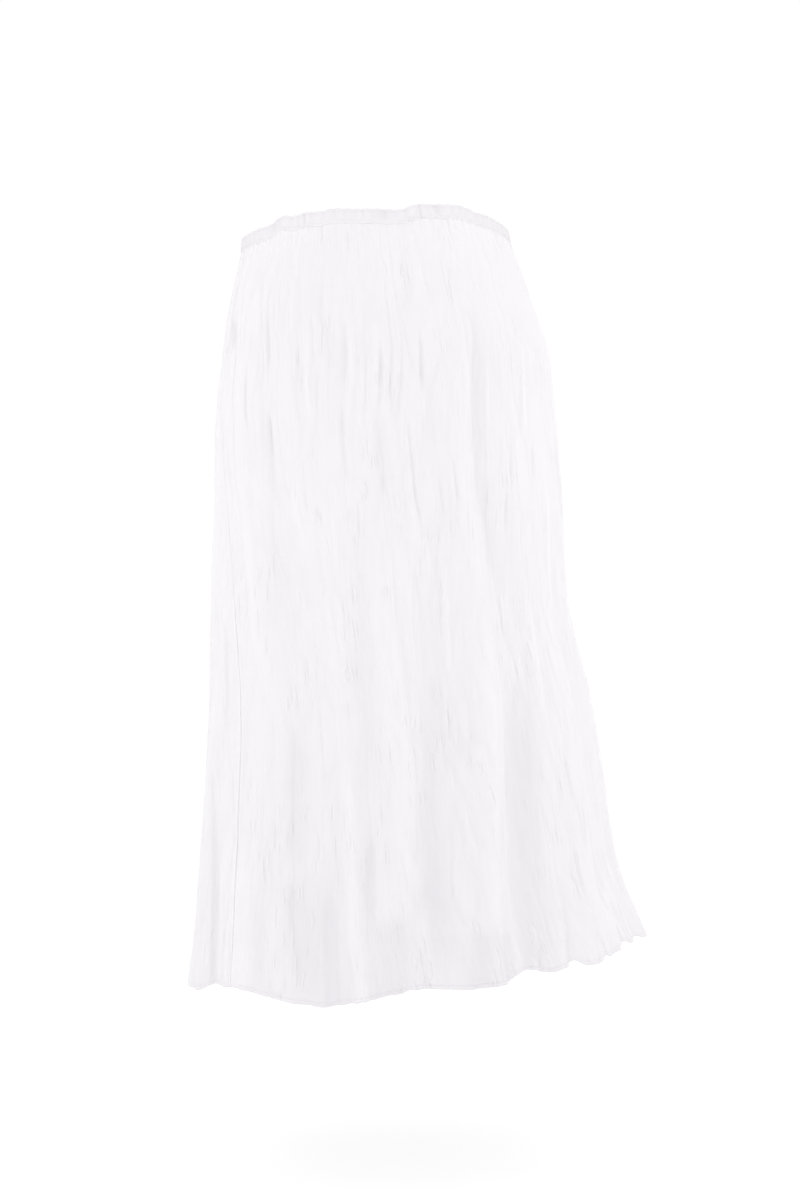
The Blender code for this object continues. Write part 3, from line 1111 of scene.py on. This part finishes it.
@dataclass(frozen=True)
class FloorFinish:
    """A plain white studio floor, lit until nothing shows on it."""

    name: str = "studio_floor_white"
    light: Colour = (0.63, 0.63, 0.63)
    dark: Colour = (0.61, 0.61, 0.61)
    clouds: Streaks = Streaks(0.8, 0.8, 2.0, 0.0)
    roughness: float = 0.9
    glow: float = 0.41

    def make(self) -> bpy.types.Material:
        """Build the material.

        Returns:
            The material.
        """
        bench = NodeBench(self.name)
        place = bench.node("ShaderNodeTexCoord", {}, {}, "Object")
        return bench.finished({
            "Base Color": bench.shades(self.clouds.over(place), self.light, self.dark),
            "Roughness": self.roughness,
            "Emission Color": (1.0, 1.0, 1.0, 1.0),
            "Emission Strength": self.glow,
        })


@dataclass(frozen=True)
class Gathers:
    """The small gathers that the elastic draws, the same in the casing as in the cloth under it."""

    count: int = 86
    wander: PatchNoise = PatchNoise(31, 46, 0.04)
    swing: float = 3.0

    def phase(self, turn: Grid, drop: Grid) -> Grid:
        """How far along its gather each place lies, in radians."""
        return self.count * turn + self.swing * self.wander.at(turn, drop)


@dataclass(frozen=True)
class ClothPanel:
    """Half of the skirt, from side seam to side seam: a thin shell of crinkled gauze.

    Sizes are metres. hollow is how deep a place lies, for the painted shade in its colour; light is
    painted light, how much less painted shade a place gets.
    """

    name: str
    stands_for: str
    side: Panel
    form: SkirtForm
    crinkles: Crinkles = Crinkles()
    gathers: Gathers = Gathers()
    columns: int = 481
    rows_below_casing: int = 10
    row_crowding: float = 1.25
    rows_of_cloth: int = 78
    rows_at_hem: tuple[float, ...] = (0.011, 0.0078, 0.0058, 0.0043, 0.0034, 0.0026, 0.0015, 0.0007, 0.0)
    hem_rows_drop: float = 0.016
    thickness: float = 0.0006
    hem_roll: float = 0.0034
    hem_roll_run: float = 0.0008
    hem_thickness: float = 0.0010
    hem_flutter: float = 0.0024
    hem_flutter_drop: float = 0.075
    flutter: PatchNoise = PatchNoise(21, 84, 0.3)
    nibble: PatchNoise = PatchNoise(22, 118, 0.3)
    nibble_depth: float = 0.0014
    rim_steps_fade: float = 0.075
    casing_overlap: float = 0.0036
    rim_lift: float = 0.0005
    rim_tuck: float = 0.0016
    tuck_ends: float = 0.0008
    puff_drop: float = 0.036
    puff_uneven: float = 0.7
    gather_depth: float = 0.0003
    gather_lift: float = 0.7
    gather_roundness: float = 0.7
    level_hollow: float = 0.4
    full_hollow: float = 0.0040
    # Painted shadow line along the hem's edge
    hem_shade: float = 1.2
    hem_shade_drop: float = 0.0022
    grain_arm: float = 0.19
    # Painted light along the side seams (seam_light) and just under the casing (rim_light)
    seam_arm: float = 0.24
    seam_reach: float = 0.0018
    seam_light: float = 0.75
    rim_light: float = 0.45
    rim_light_drop: float = 0.0165
    rim_light_reach: float = 0.0022

    def rows(self) -> Grid:
        """Where the rows of points lie.

        Returns:
            Their drops, close together under the casing and at the rolled hem.
        """
        start, hem = self.form.band_drop - self.casing_overlap, self.form.skirt_drop
        steps = np.linspace(0.0, 1.0, self.rows_below_casing, endpoint=False)
        top = start + self.puff_drop * steps**self.row_crowding
        cloth = np.linspace(start + self.puff_drop, hem - self.hem_rows_drop, self.rows_of_cloth)
        return np.concatenate([top, cloth, hem - np.array(self.rows_at_hem)])

    def turns(self) -> Grid:
        """The turns of the columns, from side seam to side seam."""
        return self.side.value + np.linspace(-math.pi / 2, math.pi / 2, self.columns)

    def relief(self, turn: Grid, drop: Grid) -> Relief:
        """Everything that stands off the smooth form: crinkles, creases, gathers and hem.

        Args:
            turn: Turns at the waist.
            drop: Drops of the same shape.

        Returns:
            The relief at each place.
        """
        form, band, hem = self.form, self.form.band_drop, self.form.skirt_drop
        found = self.crinkles.relief(form, turn, drop).plus(HandCreases(form).relief(turn, drop))
        phase, flutter = self.gathers.phase(turn, drop), self.flutter.at(turn, drop)
        under_casing = 1.0 - smooth(drop, band, band + self.puff_drop)
        puff = self.gather_depth * under_casing * (1.0 + self.puff_uneven * flutter)
        inside = 1.0 - smooth(drop, band - self.casing_overlap, band + self.tuck_ends)
        near_rim = 1.0 - smooth(drop, band, self.rim_steps_fade)
        near_hem = smooth(drop, hem - self.hem_flutter_drop, hem)
        out = found.out + self.rim_lift * under_casing - self.rim_tuck * inside
        out = out + puff * (self.gather_lift + np.cos(phase)) + self.hem_flutter * near_hem * flutter
        shift = found.shift + puff * self.gather_roundness * np.sin(phase)
        hem_steps = edge_lowered(HEM_STEPS, form.dragged(turn, drop))
        lower = near_hem**2 * (hem_steps + self.nibble_depth * self.nibble.at(turn, drop))
        return Relief(out, shift, lower + near_rim * edge_lowered(RIM_STEPS, turn), found.hollow)

    def surface(self, turn: Grid, drop: Grid, off: float) -> Grid:
        """Points that float off the outside of the cloth by some metres, x, y and z last."""
        found = self.relief(turn, drop)
        return self.form.place(turn, drop, found.out + off, found.shift, found.lower)

    def build(self, material: bpy.types.Material) -> bpy.types.Object:
        """Make the panel's shell and store its grain for the finish.

        Args:
            material: The cloth's finish.

        Returns:
            The piece.
        """
        drops = self.rows()
        turn = np.tile(self.turns(), (len(drops), 1))
        drop = drops[:, None] + np.zeros_like(turn)
        found = self.relief(turn, drop)
        outer = self.form.place(turn, drop, found.out, found.shift, found.lower)
        roll_top = self.form.skirt_drop - self.hem_roll
        rolled = smooth(drop, roll_top - self.hem_roll_run, roll_top)
        thick = self.thickness + (self.hem_thickness - self.thickness) * rolled
        inner = outer - grid_normals(outer) * thick[..., None]
        points = np.concatenate([outer.reshape(-1, 3), inner.reshape(-1, 3)])
        piece = add_mesh(self.name, points, shell_faces(*turn.shape), material, 2 * (sum(turn.shape) - 2))
        across = turned_from(self.form.grain(turn, drop), self.side.value) * self.grain_arm
        lay_grain(piece, across, drop, self.shade(found, turn, drop))
        return piece

    def shade(self, found: Relief, turn: Grid, drop: Grid) -> Grid:
        """How much painted shade each place gets from its creases: a painted shadow line along the hem's
        edge, and painted light by the seams and just under the casing.

        Args:
            found: The cloth's relief.
            turn: Turns at the waist.
            drop: Drops of the same shape.

        Returns:
            1 in a deep trough, and less towards the crests.
        """
        hem = self.form.skirt_drop
        hollow = np.clip(self.level_hollow + found.hollow / self.full_hollow, 0.0, 1.0)
        # Painted shadow line along the hem's edge
        hollow = np.maximum(hollow, smooth(drop, hem - self.hem_shade_drop, hem) * self.hem_shade)
        from_seam = (math.pi / 2 - np.abs(turned_from(turn, self.side.value))) * self.seam_arm
        # Painted light along the side seams, and just under the casing
        hollow = hollow - self.seam_light * bell(from_seam, self.seam_reach)
        return hollow - self.rim_light * bell(drop - self.rim_light_drop, self.rim_light_reach)


@dataclass(frozen=True)
class RimPoint:
    """One point of the casing's section: metres out and down, and its share of the gathers."""

    out: float
    drop: float
    ruffle: float


@dataclass(frozen=True)
class WaistCasing:
    """The narrow casing over the elastic: a gathered tube with a toothed top edge."""

    form: SkirtForm
    name: str = "waist_casing"
    stands_for: str = "waistband"
    columns: int = 1160
    gathers: Gathers = Gathers()
    gather_depth: float = 0.0007
    roundness: float = 0.8
    mean_strength: float = 0.8
    uneven_strength: float = 0.55
    strength: PatchNoise = PatchNoise(32, 64, 0.05)
    fine_depth: float = 0.00035
    fine: PatchNoise = PatchNoise(33, 330, 0.03)
    tooth: float = 0.0003
    tooth_drop: float = 0.005
    dent_share: float = 0.4
    stitch_ruffle: float = 0.9
    # Painted shade in the gathers and dents, and painted light on the lower lip where it meets the cloth
    level_hollow: float = 0.45
    full_hollow: float = 0.0026
    lip_light: float = 0.7
    lip_drops: Pair = (0.0152, 0.0170)
    grain_arm: float = 0.15
    outside_points: int = 13
    section: tuple[RimPoint, ...] = tuple(RimPoint(*point) for point in (
        (0.0001, 0.0000, 1.0), (0.0006, 0.0003, 1.0), (0.0009, 0.0012, 1.0), (0.0008, 0.0022, 1.0),
        (0.0006, 0.0030, 0.9), (0.0011, 0.0042, 0.8), (0.0013, 0.0060, 0.7), (0.0013, 0.0082, 0.7),
        (0.0011, 0.0104, 0.7), (0.0010, 0.0122, 0.6), (0.0009, 0.0138, 0.5), (0.0008, 0.0153, 0.4),
        (0.0006, 0.0166, 0.3), (-0.0002, 0.0174, 0.3), (-0.0007, 0.0175, 0.3), (-0.0009, 0.0158, 0.3),
        (-0.0010, 0.0134, 0.3), (-0.0013, 0.0108, 0.3), (-0.0014, 0.0080, 0.3), (-0.0013, 0.0052, 0.3),
        (-0.0009, 0.0030, 0.5), (-0.0007, 0.0014, 0.7), (-0.0005, 0.0004, 0.9),
    ))
    dents: tuple[Crease, ...] = (
        Crease(-15.5, 0.000, -16.5, 0.013, 0.0042, 0.0030),
        Crease(7.0, 0.000, 8.0, 0.012, 0.0036, 0.0030),
        Crease(-15.5, 0.016, -15.5, 0.026, 0.0080, 0.0022, Kind.RIDGE),
        Crease(-66.0, 0.000, -65.0, 0.016, 0.0050, 0.0022),
        Crease(98.0, 0.000, 97.0, 0.014, 0.0040, 0.0024),
        Crease(151.0, 0.000, 152.0, 0.014, 0.0044, 0.0028),
        Crease(213.0, 0.000, 212.0, 0.013, 0.0038, 0.0026),
    )

    def relief(self, turn: Grid, drop: Grid, out: Grid, ruffle: Grid) -> Relief:
        """The casing's gathers, dents and toothed edge.

        Args:
            turn: Turns in radians.
            drop: Drops of the same shape.
            out: How far out the section's point lies.
            ruffle: The point's share of the gathers.

        Returns:
            The relief at each place.
        """
        phase = self.gathers.phase(turn, drop)
        strength = self.mean_strength + self.uneven_strength * self.strength.at(turn, drop)
        depth = self.gather_depth * ruffle * strength
        dented = HandCreases(self.form, self.dents).relief(turn, drop).out
        dented = dented * (self.dent_share + (1.0 - self.dent_share) * ruffle)
        small = self.fine_depth * ruffle * self.fine.at(turn, drop)
        teeth = self.tooth * np.cos(phase) * (1.0 - smooth(drop, 0.0, self.tooth_drop))
        pushed = out + depth * np.cos(phase) + small + dented
        lowered = edge_lowered(RIM_STEPS, turn) - teeth
        return Relief(pushed, depth * self.roundness * np.sin(phase), lowered, out - pushed)

    def surface(self, turn: Grid, drop: Grid, off: float) -> Grid:
        """Points on the outside of the casing.

        Args:
            turn: Turns in radians.
            drop: Drops of the same shape.
            off: How far off the casing they float, in metres.

        Returns:
            x, y and z in the last axis.
        """
        outside = self.section[: self.outside_points]
        out = np.interp(drop, [point.drop for point in outside], [point.out for point in outside])
        found = self.relief(turn, drop, out + off, np.full_like(drop, self.stitch_ruffle))
        return self.form.place(turn, drop, found.out, found.shift, found.lower)

    def build(self, material: bpy.types.Material) -> bpy.types.Object:
        """Make the casing's tube and store its grain for the finish.

        Args:
            material: The casing's finish.

        Returns:
            The piece.
        """
        flat = np.zeros((len(self.section), self.columns))
        turn = flat + np.arange(self.columns) * FULL_TURN / self.columns
        outline = [(point.drop, point.out, point.ruffle) for point in self.section]
        drop, out, ruffle = (flat + np.array(column)[:, None] for column in zip(*outline))
        found = self.relief(turn, drop, out, ruffle)
        points = self.form.place(turn, drop, found.out, found.shift, found.lower)
        piece = add_mesh(self.name, points, tube_faces(*flat.shape, True), material)
        # Painted shade in the gathers and dents; painted light on the lower lip
        hollow = np.clip(self.level_hollow + found.hollow / self.full_hollow, 0.0, 1.0)
        hollow = hollow - self.lip_light * smooth(drop, *self.lip_drops)
        lay_grain(piece, turn * self.grain_arm, drop, hollow)
        return piece


@dataclass(frozen=True)
class StitchRow:
    """A row of sewn stitches that lies on a piece of cloth."""

    drop: float
    pitch: float = 0.0031
    length: float = 0.0022
    radius: float = 0.00024
    sides: int = 6
    first_share: float = 0.3
    bedded: float = 0.35
    lift_step: float = 0.001
    ring_places: tuple[float, ...] = (0.0, 0.18, 0.5, 0.82, 1.0)
    ring_girths: tuple[float, ...] = (0.25, 0.85, 1.0, 0.85, 0.25)

    def capsules(
        self, host: ClothPanel | WaistCasing, first: float, last: float
    ) -> tuple[Grid, Faces]:
        """The row's stitches as small rounded bars.

        Args:
            host: The piece that the stitches lie on.
            first: The turn that the row starts at.
            last: The turn that it ends at.

        Returns:
            The points, and the faces by point number.
        """
        middle = np.array([(first + last) / 2])
        reach = float(host.form.reach(middle, np.array([self.drop]))[0])
        count = int((last - first) * reach / self.pitch)
        starts = first + (np.arange(count) + self.first_share) * (last - first) / count
        turn = starts[:, None] + np.array(self.ring_places) * self.length / reach
        drop = np.full_like(turn, self.drop)
        core = host.surface(turn, drop, self.radius * self.bedded)
        lifted = host.surface(turn, drop, self.radius * self.bedded + self.lift_step) - core
        forward = unit(np.gradient(core, axis=1))
        aside = unit(np.cross(forward, lifted))
        up = np.cross(aside, forward)
        angle = (np.arange(self.sides) * FULL_TURN / self.sides)[:, None]
        ring = up[:, :, None] * np.cos(angle) + aside[:, :, None] * np.sin(angle)
        girth = self.radius * np.array(self.ring_girths)[None, :, None, None]
        points = core[:, :, None] + ring * girth
        rings, size = len(self.ring_places), len(self.ring_places) * self.sides
        first_end, last_end = list(range(self.sides))[::-1], list(range(size - self.sides, size))
        one = np.array(tube_faces(rings, self.sides, False))
        faces = (one[None] + (np.arange(count) * size)[:, None, None]).reshape(-1, 4).tolist()
        for number in range(count):
            faces += [[index + number * size for index in end] for end in (first_end, last_end)]
        return points.reshape(-1, 3), faces


def add_stitches(
    name: str, runs: list[tuple[Grid, Faces]], material: bpy.types.Material
) -> bpy.types.Object:
    """One piece from several runs of stitches.

    Args:
        name: The piece's name.
        runs: Points and faces, run by run.
        material: The thread's finish.

    Returns:
        The piece.
    """
    faces: Faces = []
    count = 0
    for points, run_faces in runs:
        faces += [[index + count for index in face] for face in run_faces]
        count += len(points)
    return add_mesh(name, np.concatenate([points for points, _ in runs]), faces, material)


@dataclass(frozen=True)
class Skirt:
    """The whole skirt: two panels, the casing, and their stitching."""

    form: SkirtForm = SkirtForm()
    panel_cut: Pair = (0.94, 0.89)
    panel_area: float = 0.694
    casing_cut: Pair = (1.08, 0.020)
    casing_rows: Pair = (0.0030, 0.0134)
    hem_row_rise: float = 0.0010
    hem_row_half: float = 1.55

    def build(self) -> list[bpy.types.Object]:
        """Make and dress every piece.

        Returns:
            The pieces, in the order that they were made.
        """
        gauze, doubled, thread = GauzeFinish().make(), CasingFinish().make(), ThreadFinish().make()
        front = ClothPanel("front_cloth", "front_panel", Panel.FRONT, self.form)
        back = ClothPanel("back_cloth", "back_panel", Panel.BACK, self.form)
        casing = WaistCasing(self.form)
        hem_row = StitchRow(self.form.skirt_drop - front.hem_roll - self.hem_row_rise)
        casing_piece = casing.build(doubled)
        runs = [StitchRow(drop).capsules(casing, 0.0, FULL_TURN) for drop in self.casing_rows]
        casing_thread = add_stitches("casing_stitches", runs, thread)
        self.dress(casing_piece, Slot.CASING, casing.stands_for)
        self.dress(casing_thread, Slot.CASING)
        pieces = [casing_piece, casing_thread]
        for panel in (front, back):
            cloth = panel.build(gauze)
            middle, half = panel.side.value, self.hem_row_half
            run = hem_row.capsules(panel, middle - half, middle + half)
            hem = add_stitches(panel.name + "_hem_stitches", [run], thread)
            self.dress(cloth, Slot.CLOTH, panel.stands_for)
            self.dress(hem, Slot.CLOTH)
            pieces += [cloth, hem]
        return pieces

    @staticmethod
    def dress(piece: bpy.types.Object, slot: Slot, stands_for: str | None = None) -> None:
        """Tie a piece to the frame.

        Args:
            piece: The piece.
            slot: The record's slot for its finish, not used here.
            stands_for: The CAD node that it replaces, if it does.
        """
        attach(piece, BODY)
        if stands_for:
            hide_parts(stands_for)


@dataclass(frozen=True)
class SoftLight:
    """One large soft studio light that looks at a point of the skirt."""

    name: str
    place: Point
    aim: Point
    size: float
    power: float

    def build(self) -> None:
        """Put the light up."""
        lamp = bpy.data.lights.new(self.name, "AREA")
        lamp.shape, lamp.size, lamp.energy = "SQUARE", self.size, self.power
        held = placed(self.name, lamp)
        held.location = self.place
        toward = np.array(self.aim) - np.array(self.place)
        level = math.hypot(toward[0], toward[1])
        held.rotation_euler = (math.atan2(level, -toward[2]), 0.0, math.atan2(-toward[0], toward[1]))


@dataclass(frozen=True)
class Studio:
    """The camera, the plain pale floor and the soft light."""

    camera_turn: float = math.radians(25)
    camera_distance: float = 2.33
    camera_aside: float = 0.028
    camera_height: float = -0.44
    lens: float = 58.2
    sensor: float = 36.0
    floor_height: float = -1.12
    floor_size: float = 60.0
    sky: float = 1.01
    lights: tuple[SoftLight, ...] = (
        SoftLight("top_light", (-0.7, -2.2, 0.7), (0.0, 0.0, -0.35), 1.4, 12.0),
        SoftLight("left_light", (-1.6, 0.45, 0.1), (0.0, 0.0, -0.4), 1.0, 3.6),
        SoftLight("right_light", (1.6, -0.55, 0.3), (0.1, 0.0, -0.4), 1.0, 3.4),
    )

    def build(self) -> None:
        """Set the studio up round the skirt."""
        self.add_camera()
        self.add_floor()
        self.light_sky()
        for light in self.lights:
            light.build()
        bpy.context.scene.view_settings.view_transform = "Standard"

    def add_camera(self) -> None:
        """Stand the camera where the photograph was taken from."""
        data = bpy.data.cameras.new("camera")
        data.lens, data.sensor_width = self.lens, self.sensor
        camera = placed("camera", data)
        cos, sin = math.cos(self.camera_turn), math.sin(self.camera_turn)
        x = -self.camera_distance * sin + self.camera_aside * cos
        y = -self.camera_distance * cos - self.camera_aside * sin
        camera.location = (x, y, self.camera_height)
        camera.rotation_euler = (math.pi / 2, 0.0, -self.camera_turn)
        bpy.context.scene.camera = camera

    def add_floor(self) -> None:
        """Lay the floor."""
        half, height = self.floor_size / 2, self.floor_height
        sides = ((-half, -half), (half, -half), (half, half), (-half, half))
        corners = np.array([(x, y, height) for x, y in sides])
        floor = add_mesh("studio_floor", corners, [[0, 1, 2, 3]], FloorFinish().make())

    def light_sky(self) -> None:
        """Light the room evenly."""
        world = bpy.data.worlds.new("studio_room")
        world.use_nodes = True
        background = world.node_tree.nodes["Background"]
        background.inputs["Color"].default_value = (1.0, 1.0, 1.0, 1.0)
        background.inputs["Strength"].default_value = self.sky
        bpy.context.scene.world = world


def main() -> None:
    """Build the studio and the skirt, and report each piece."""
    logging.basicConfig(level=logging.INFO, format="%(message)s", stream=sys.stdout)
    Studio().build()
    for piece in Skirt().build():
        triangles = sum(len(face.vertices) - 2 for face in piece.data.polygons)
        LOG.info("%s: %d triangles", piece.name, triangles)


if __name__ == "__main__":
    main()
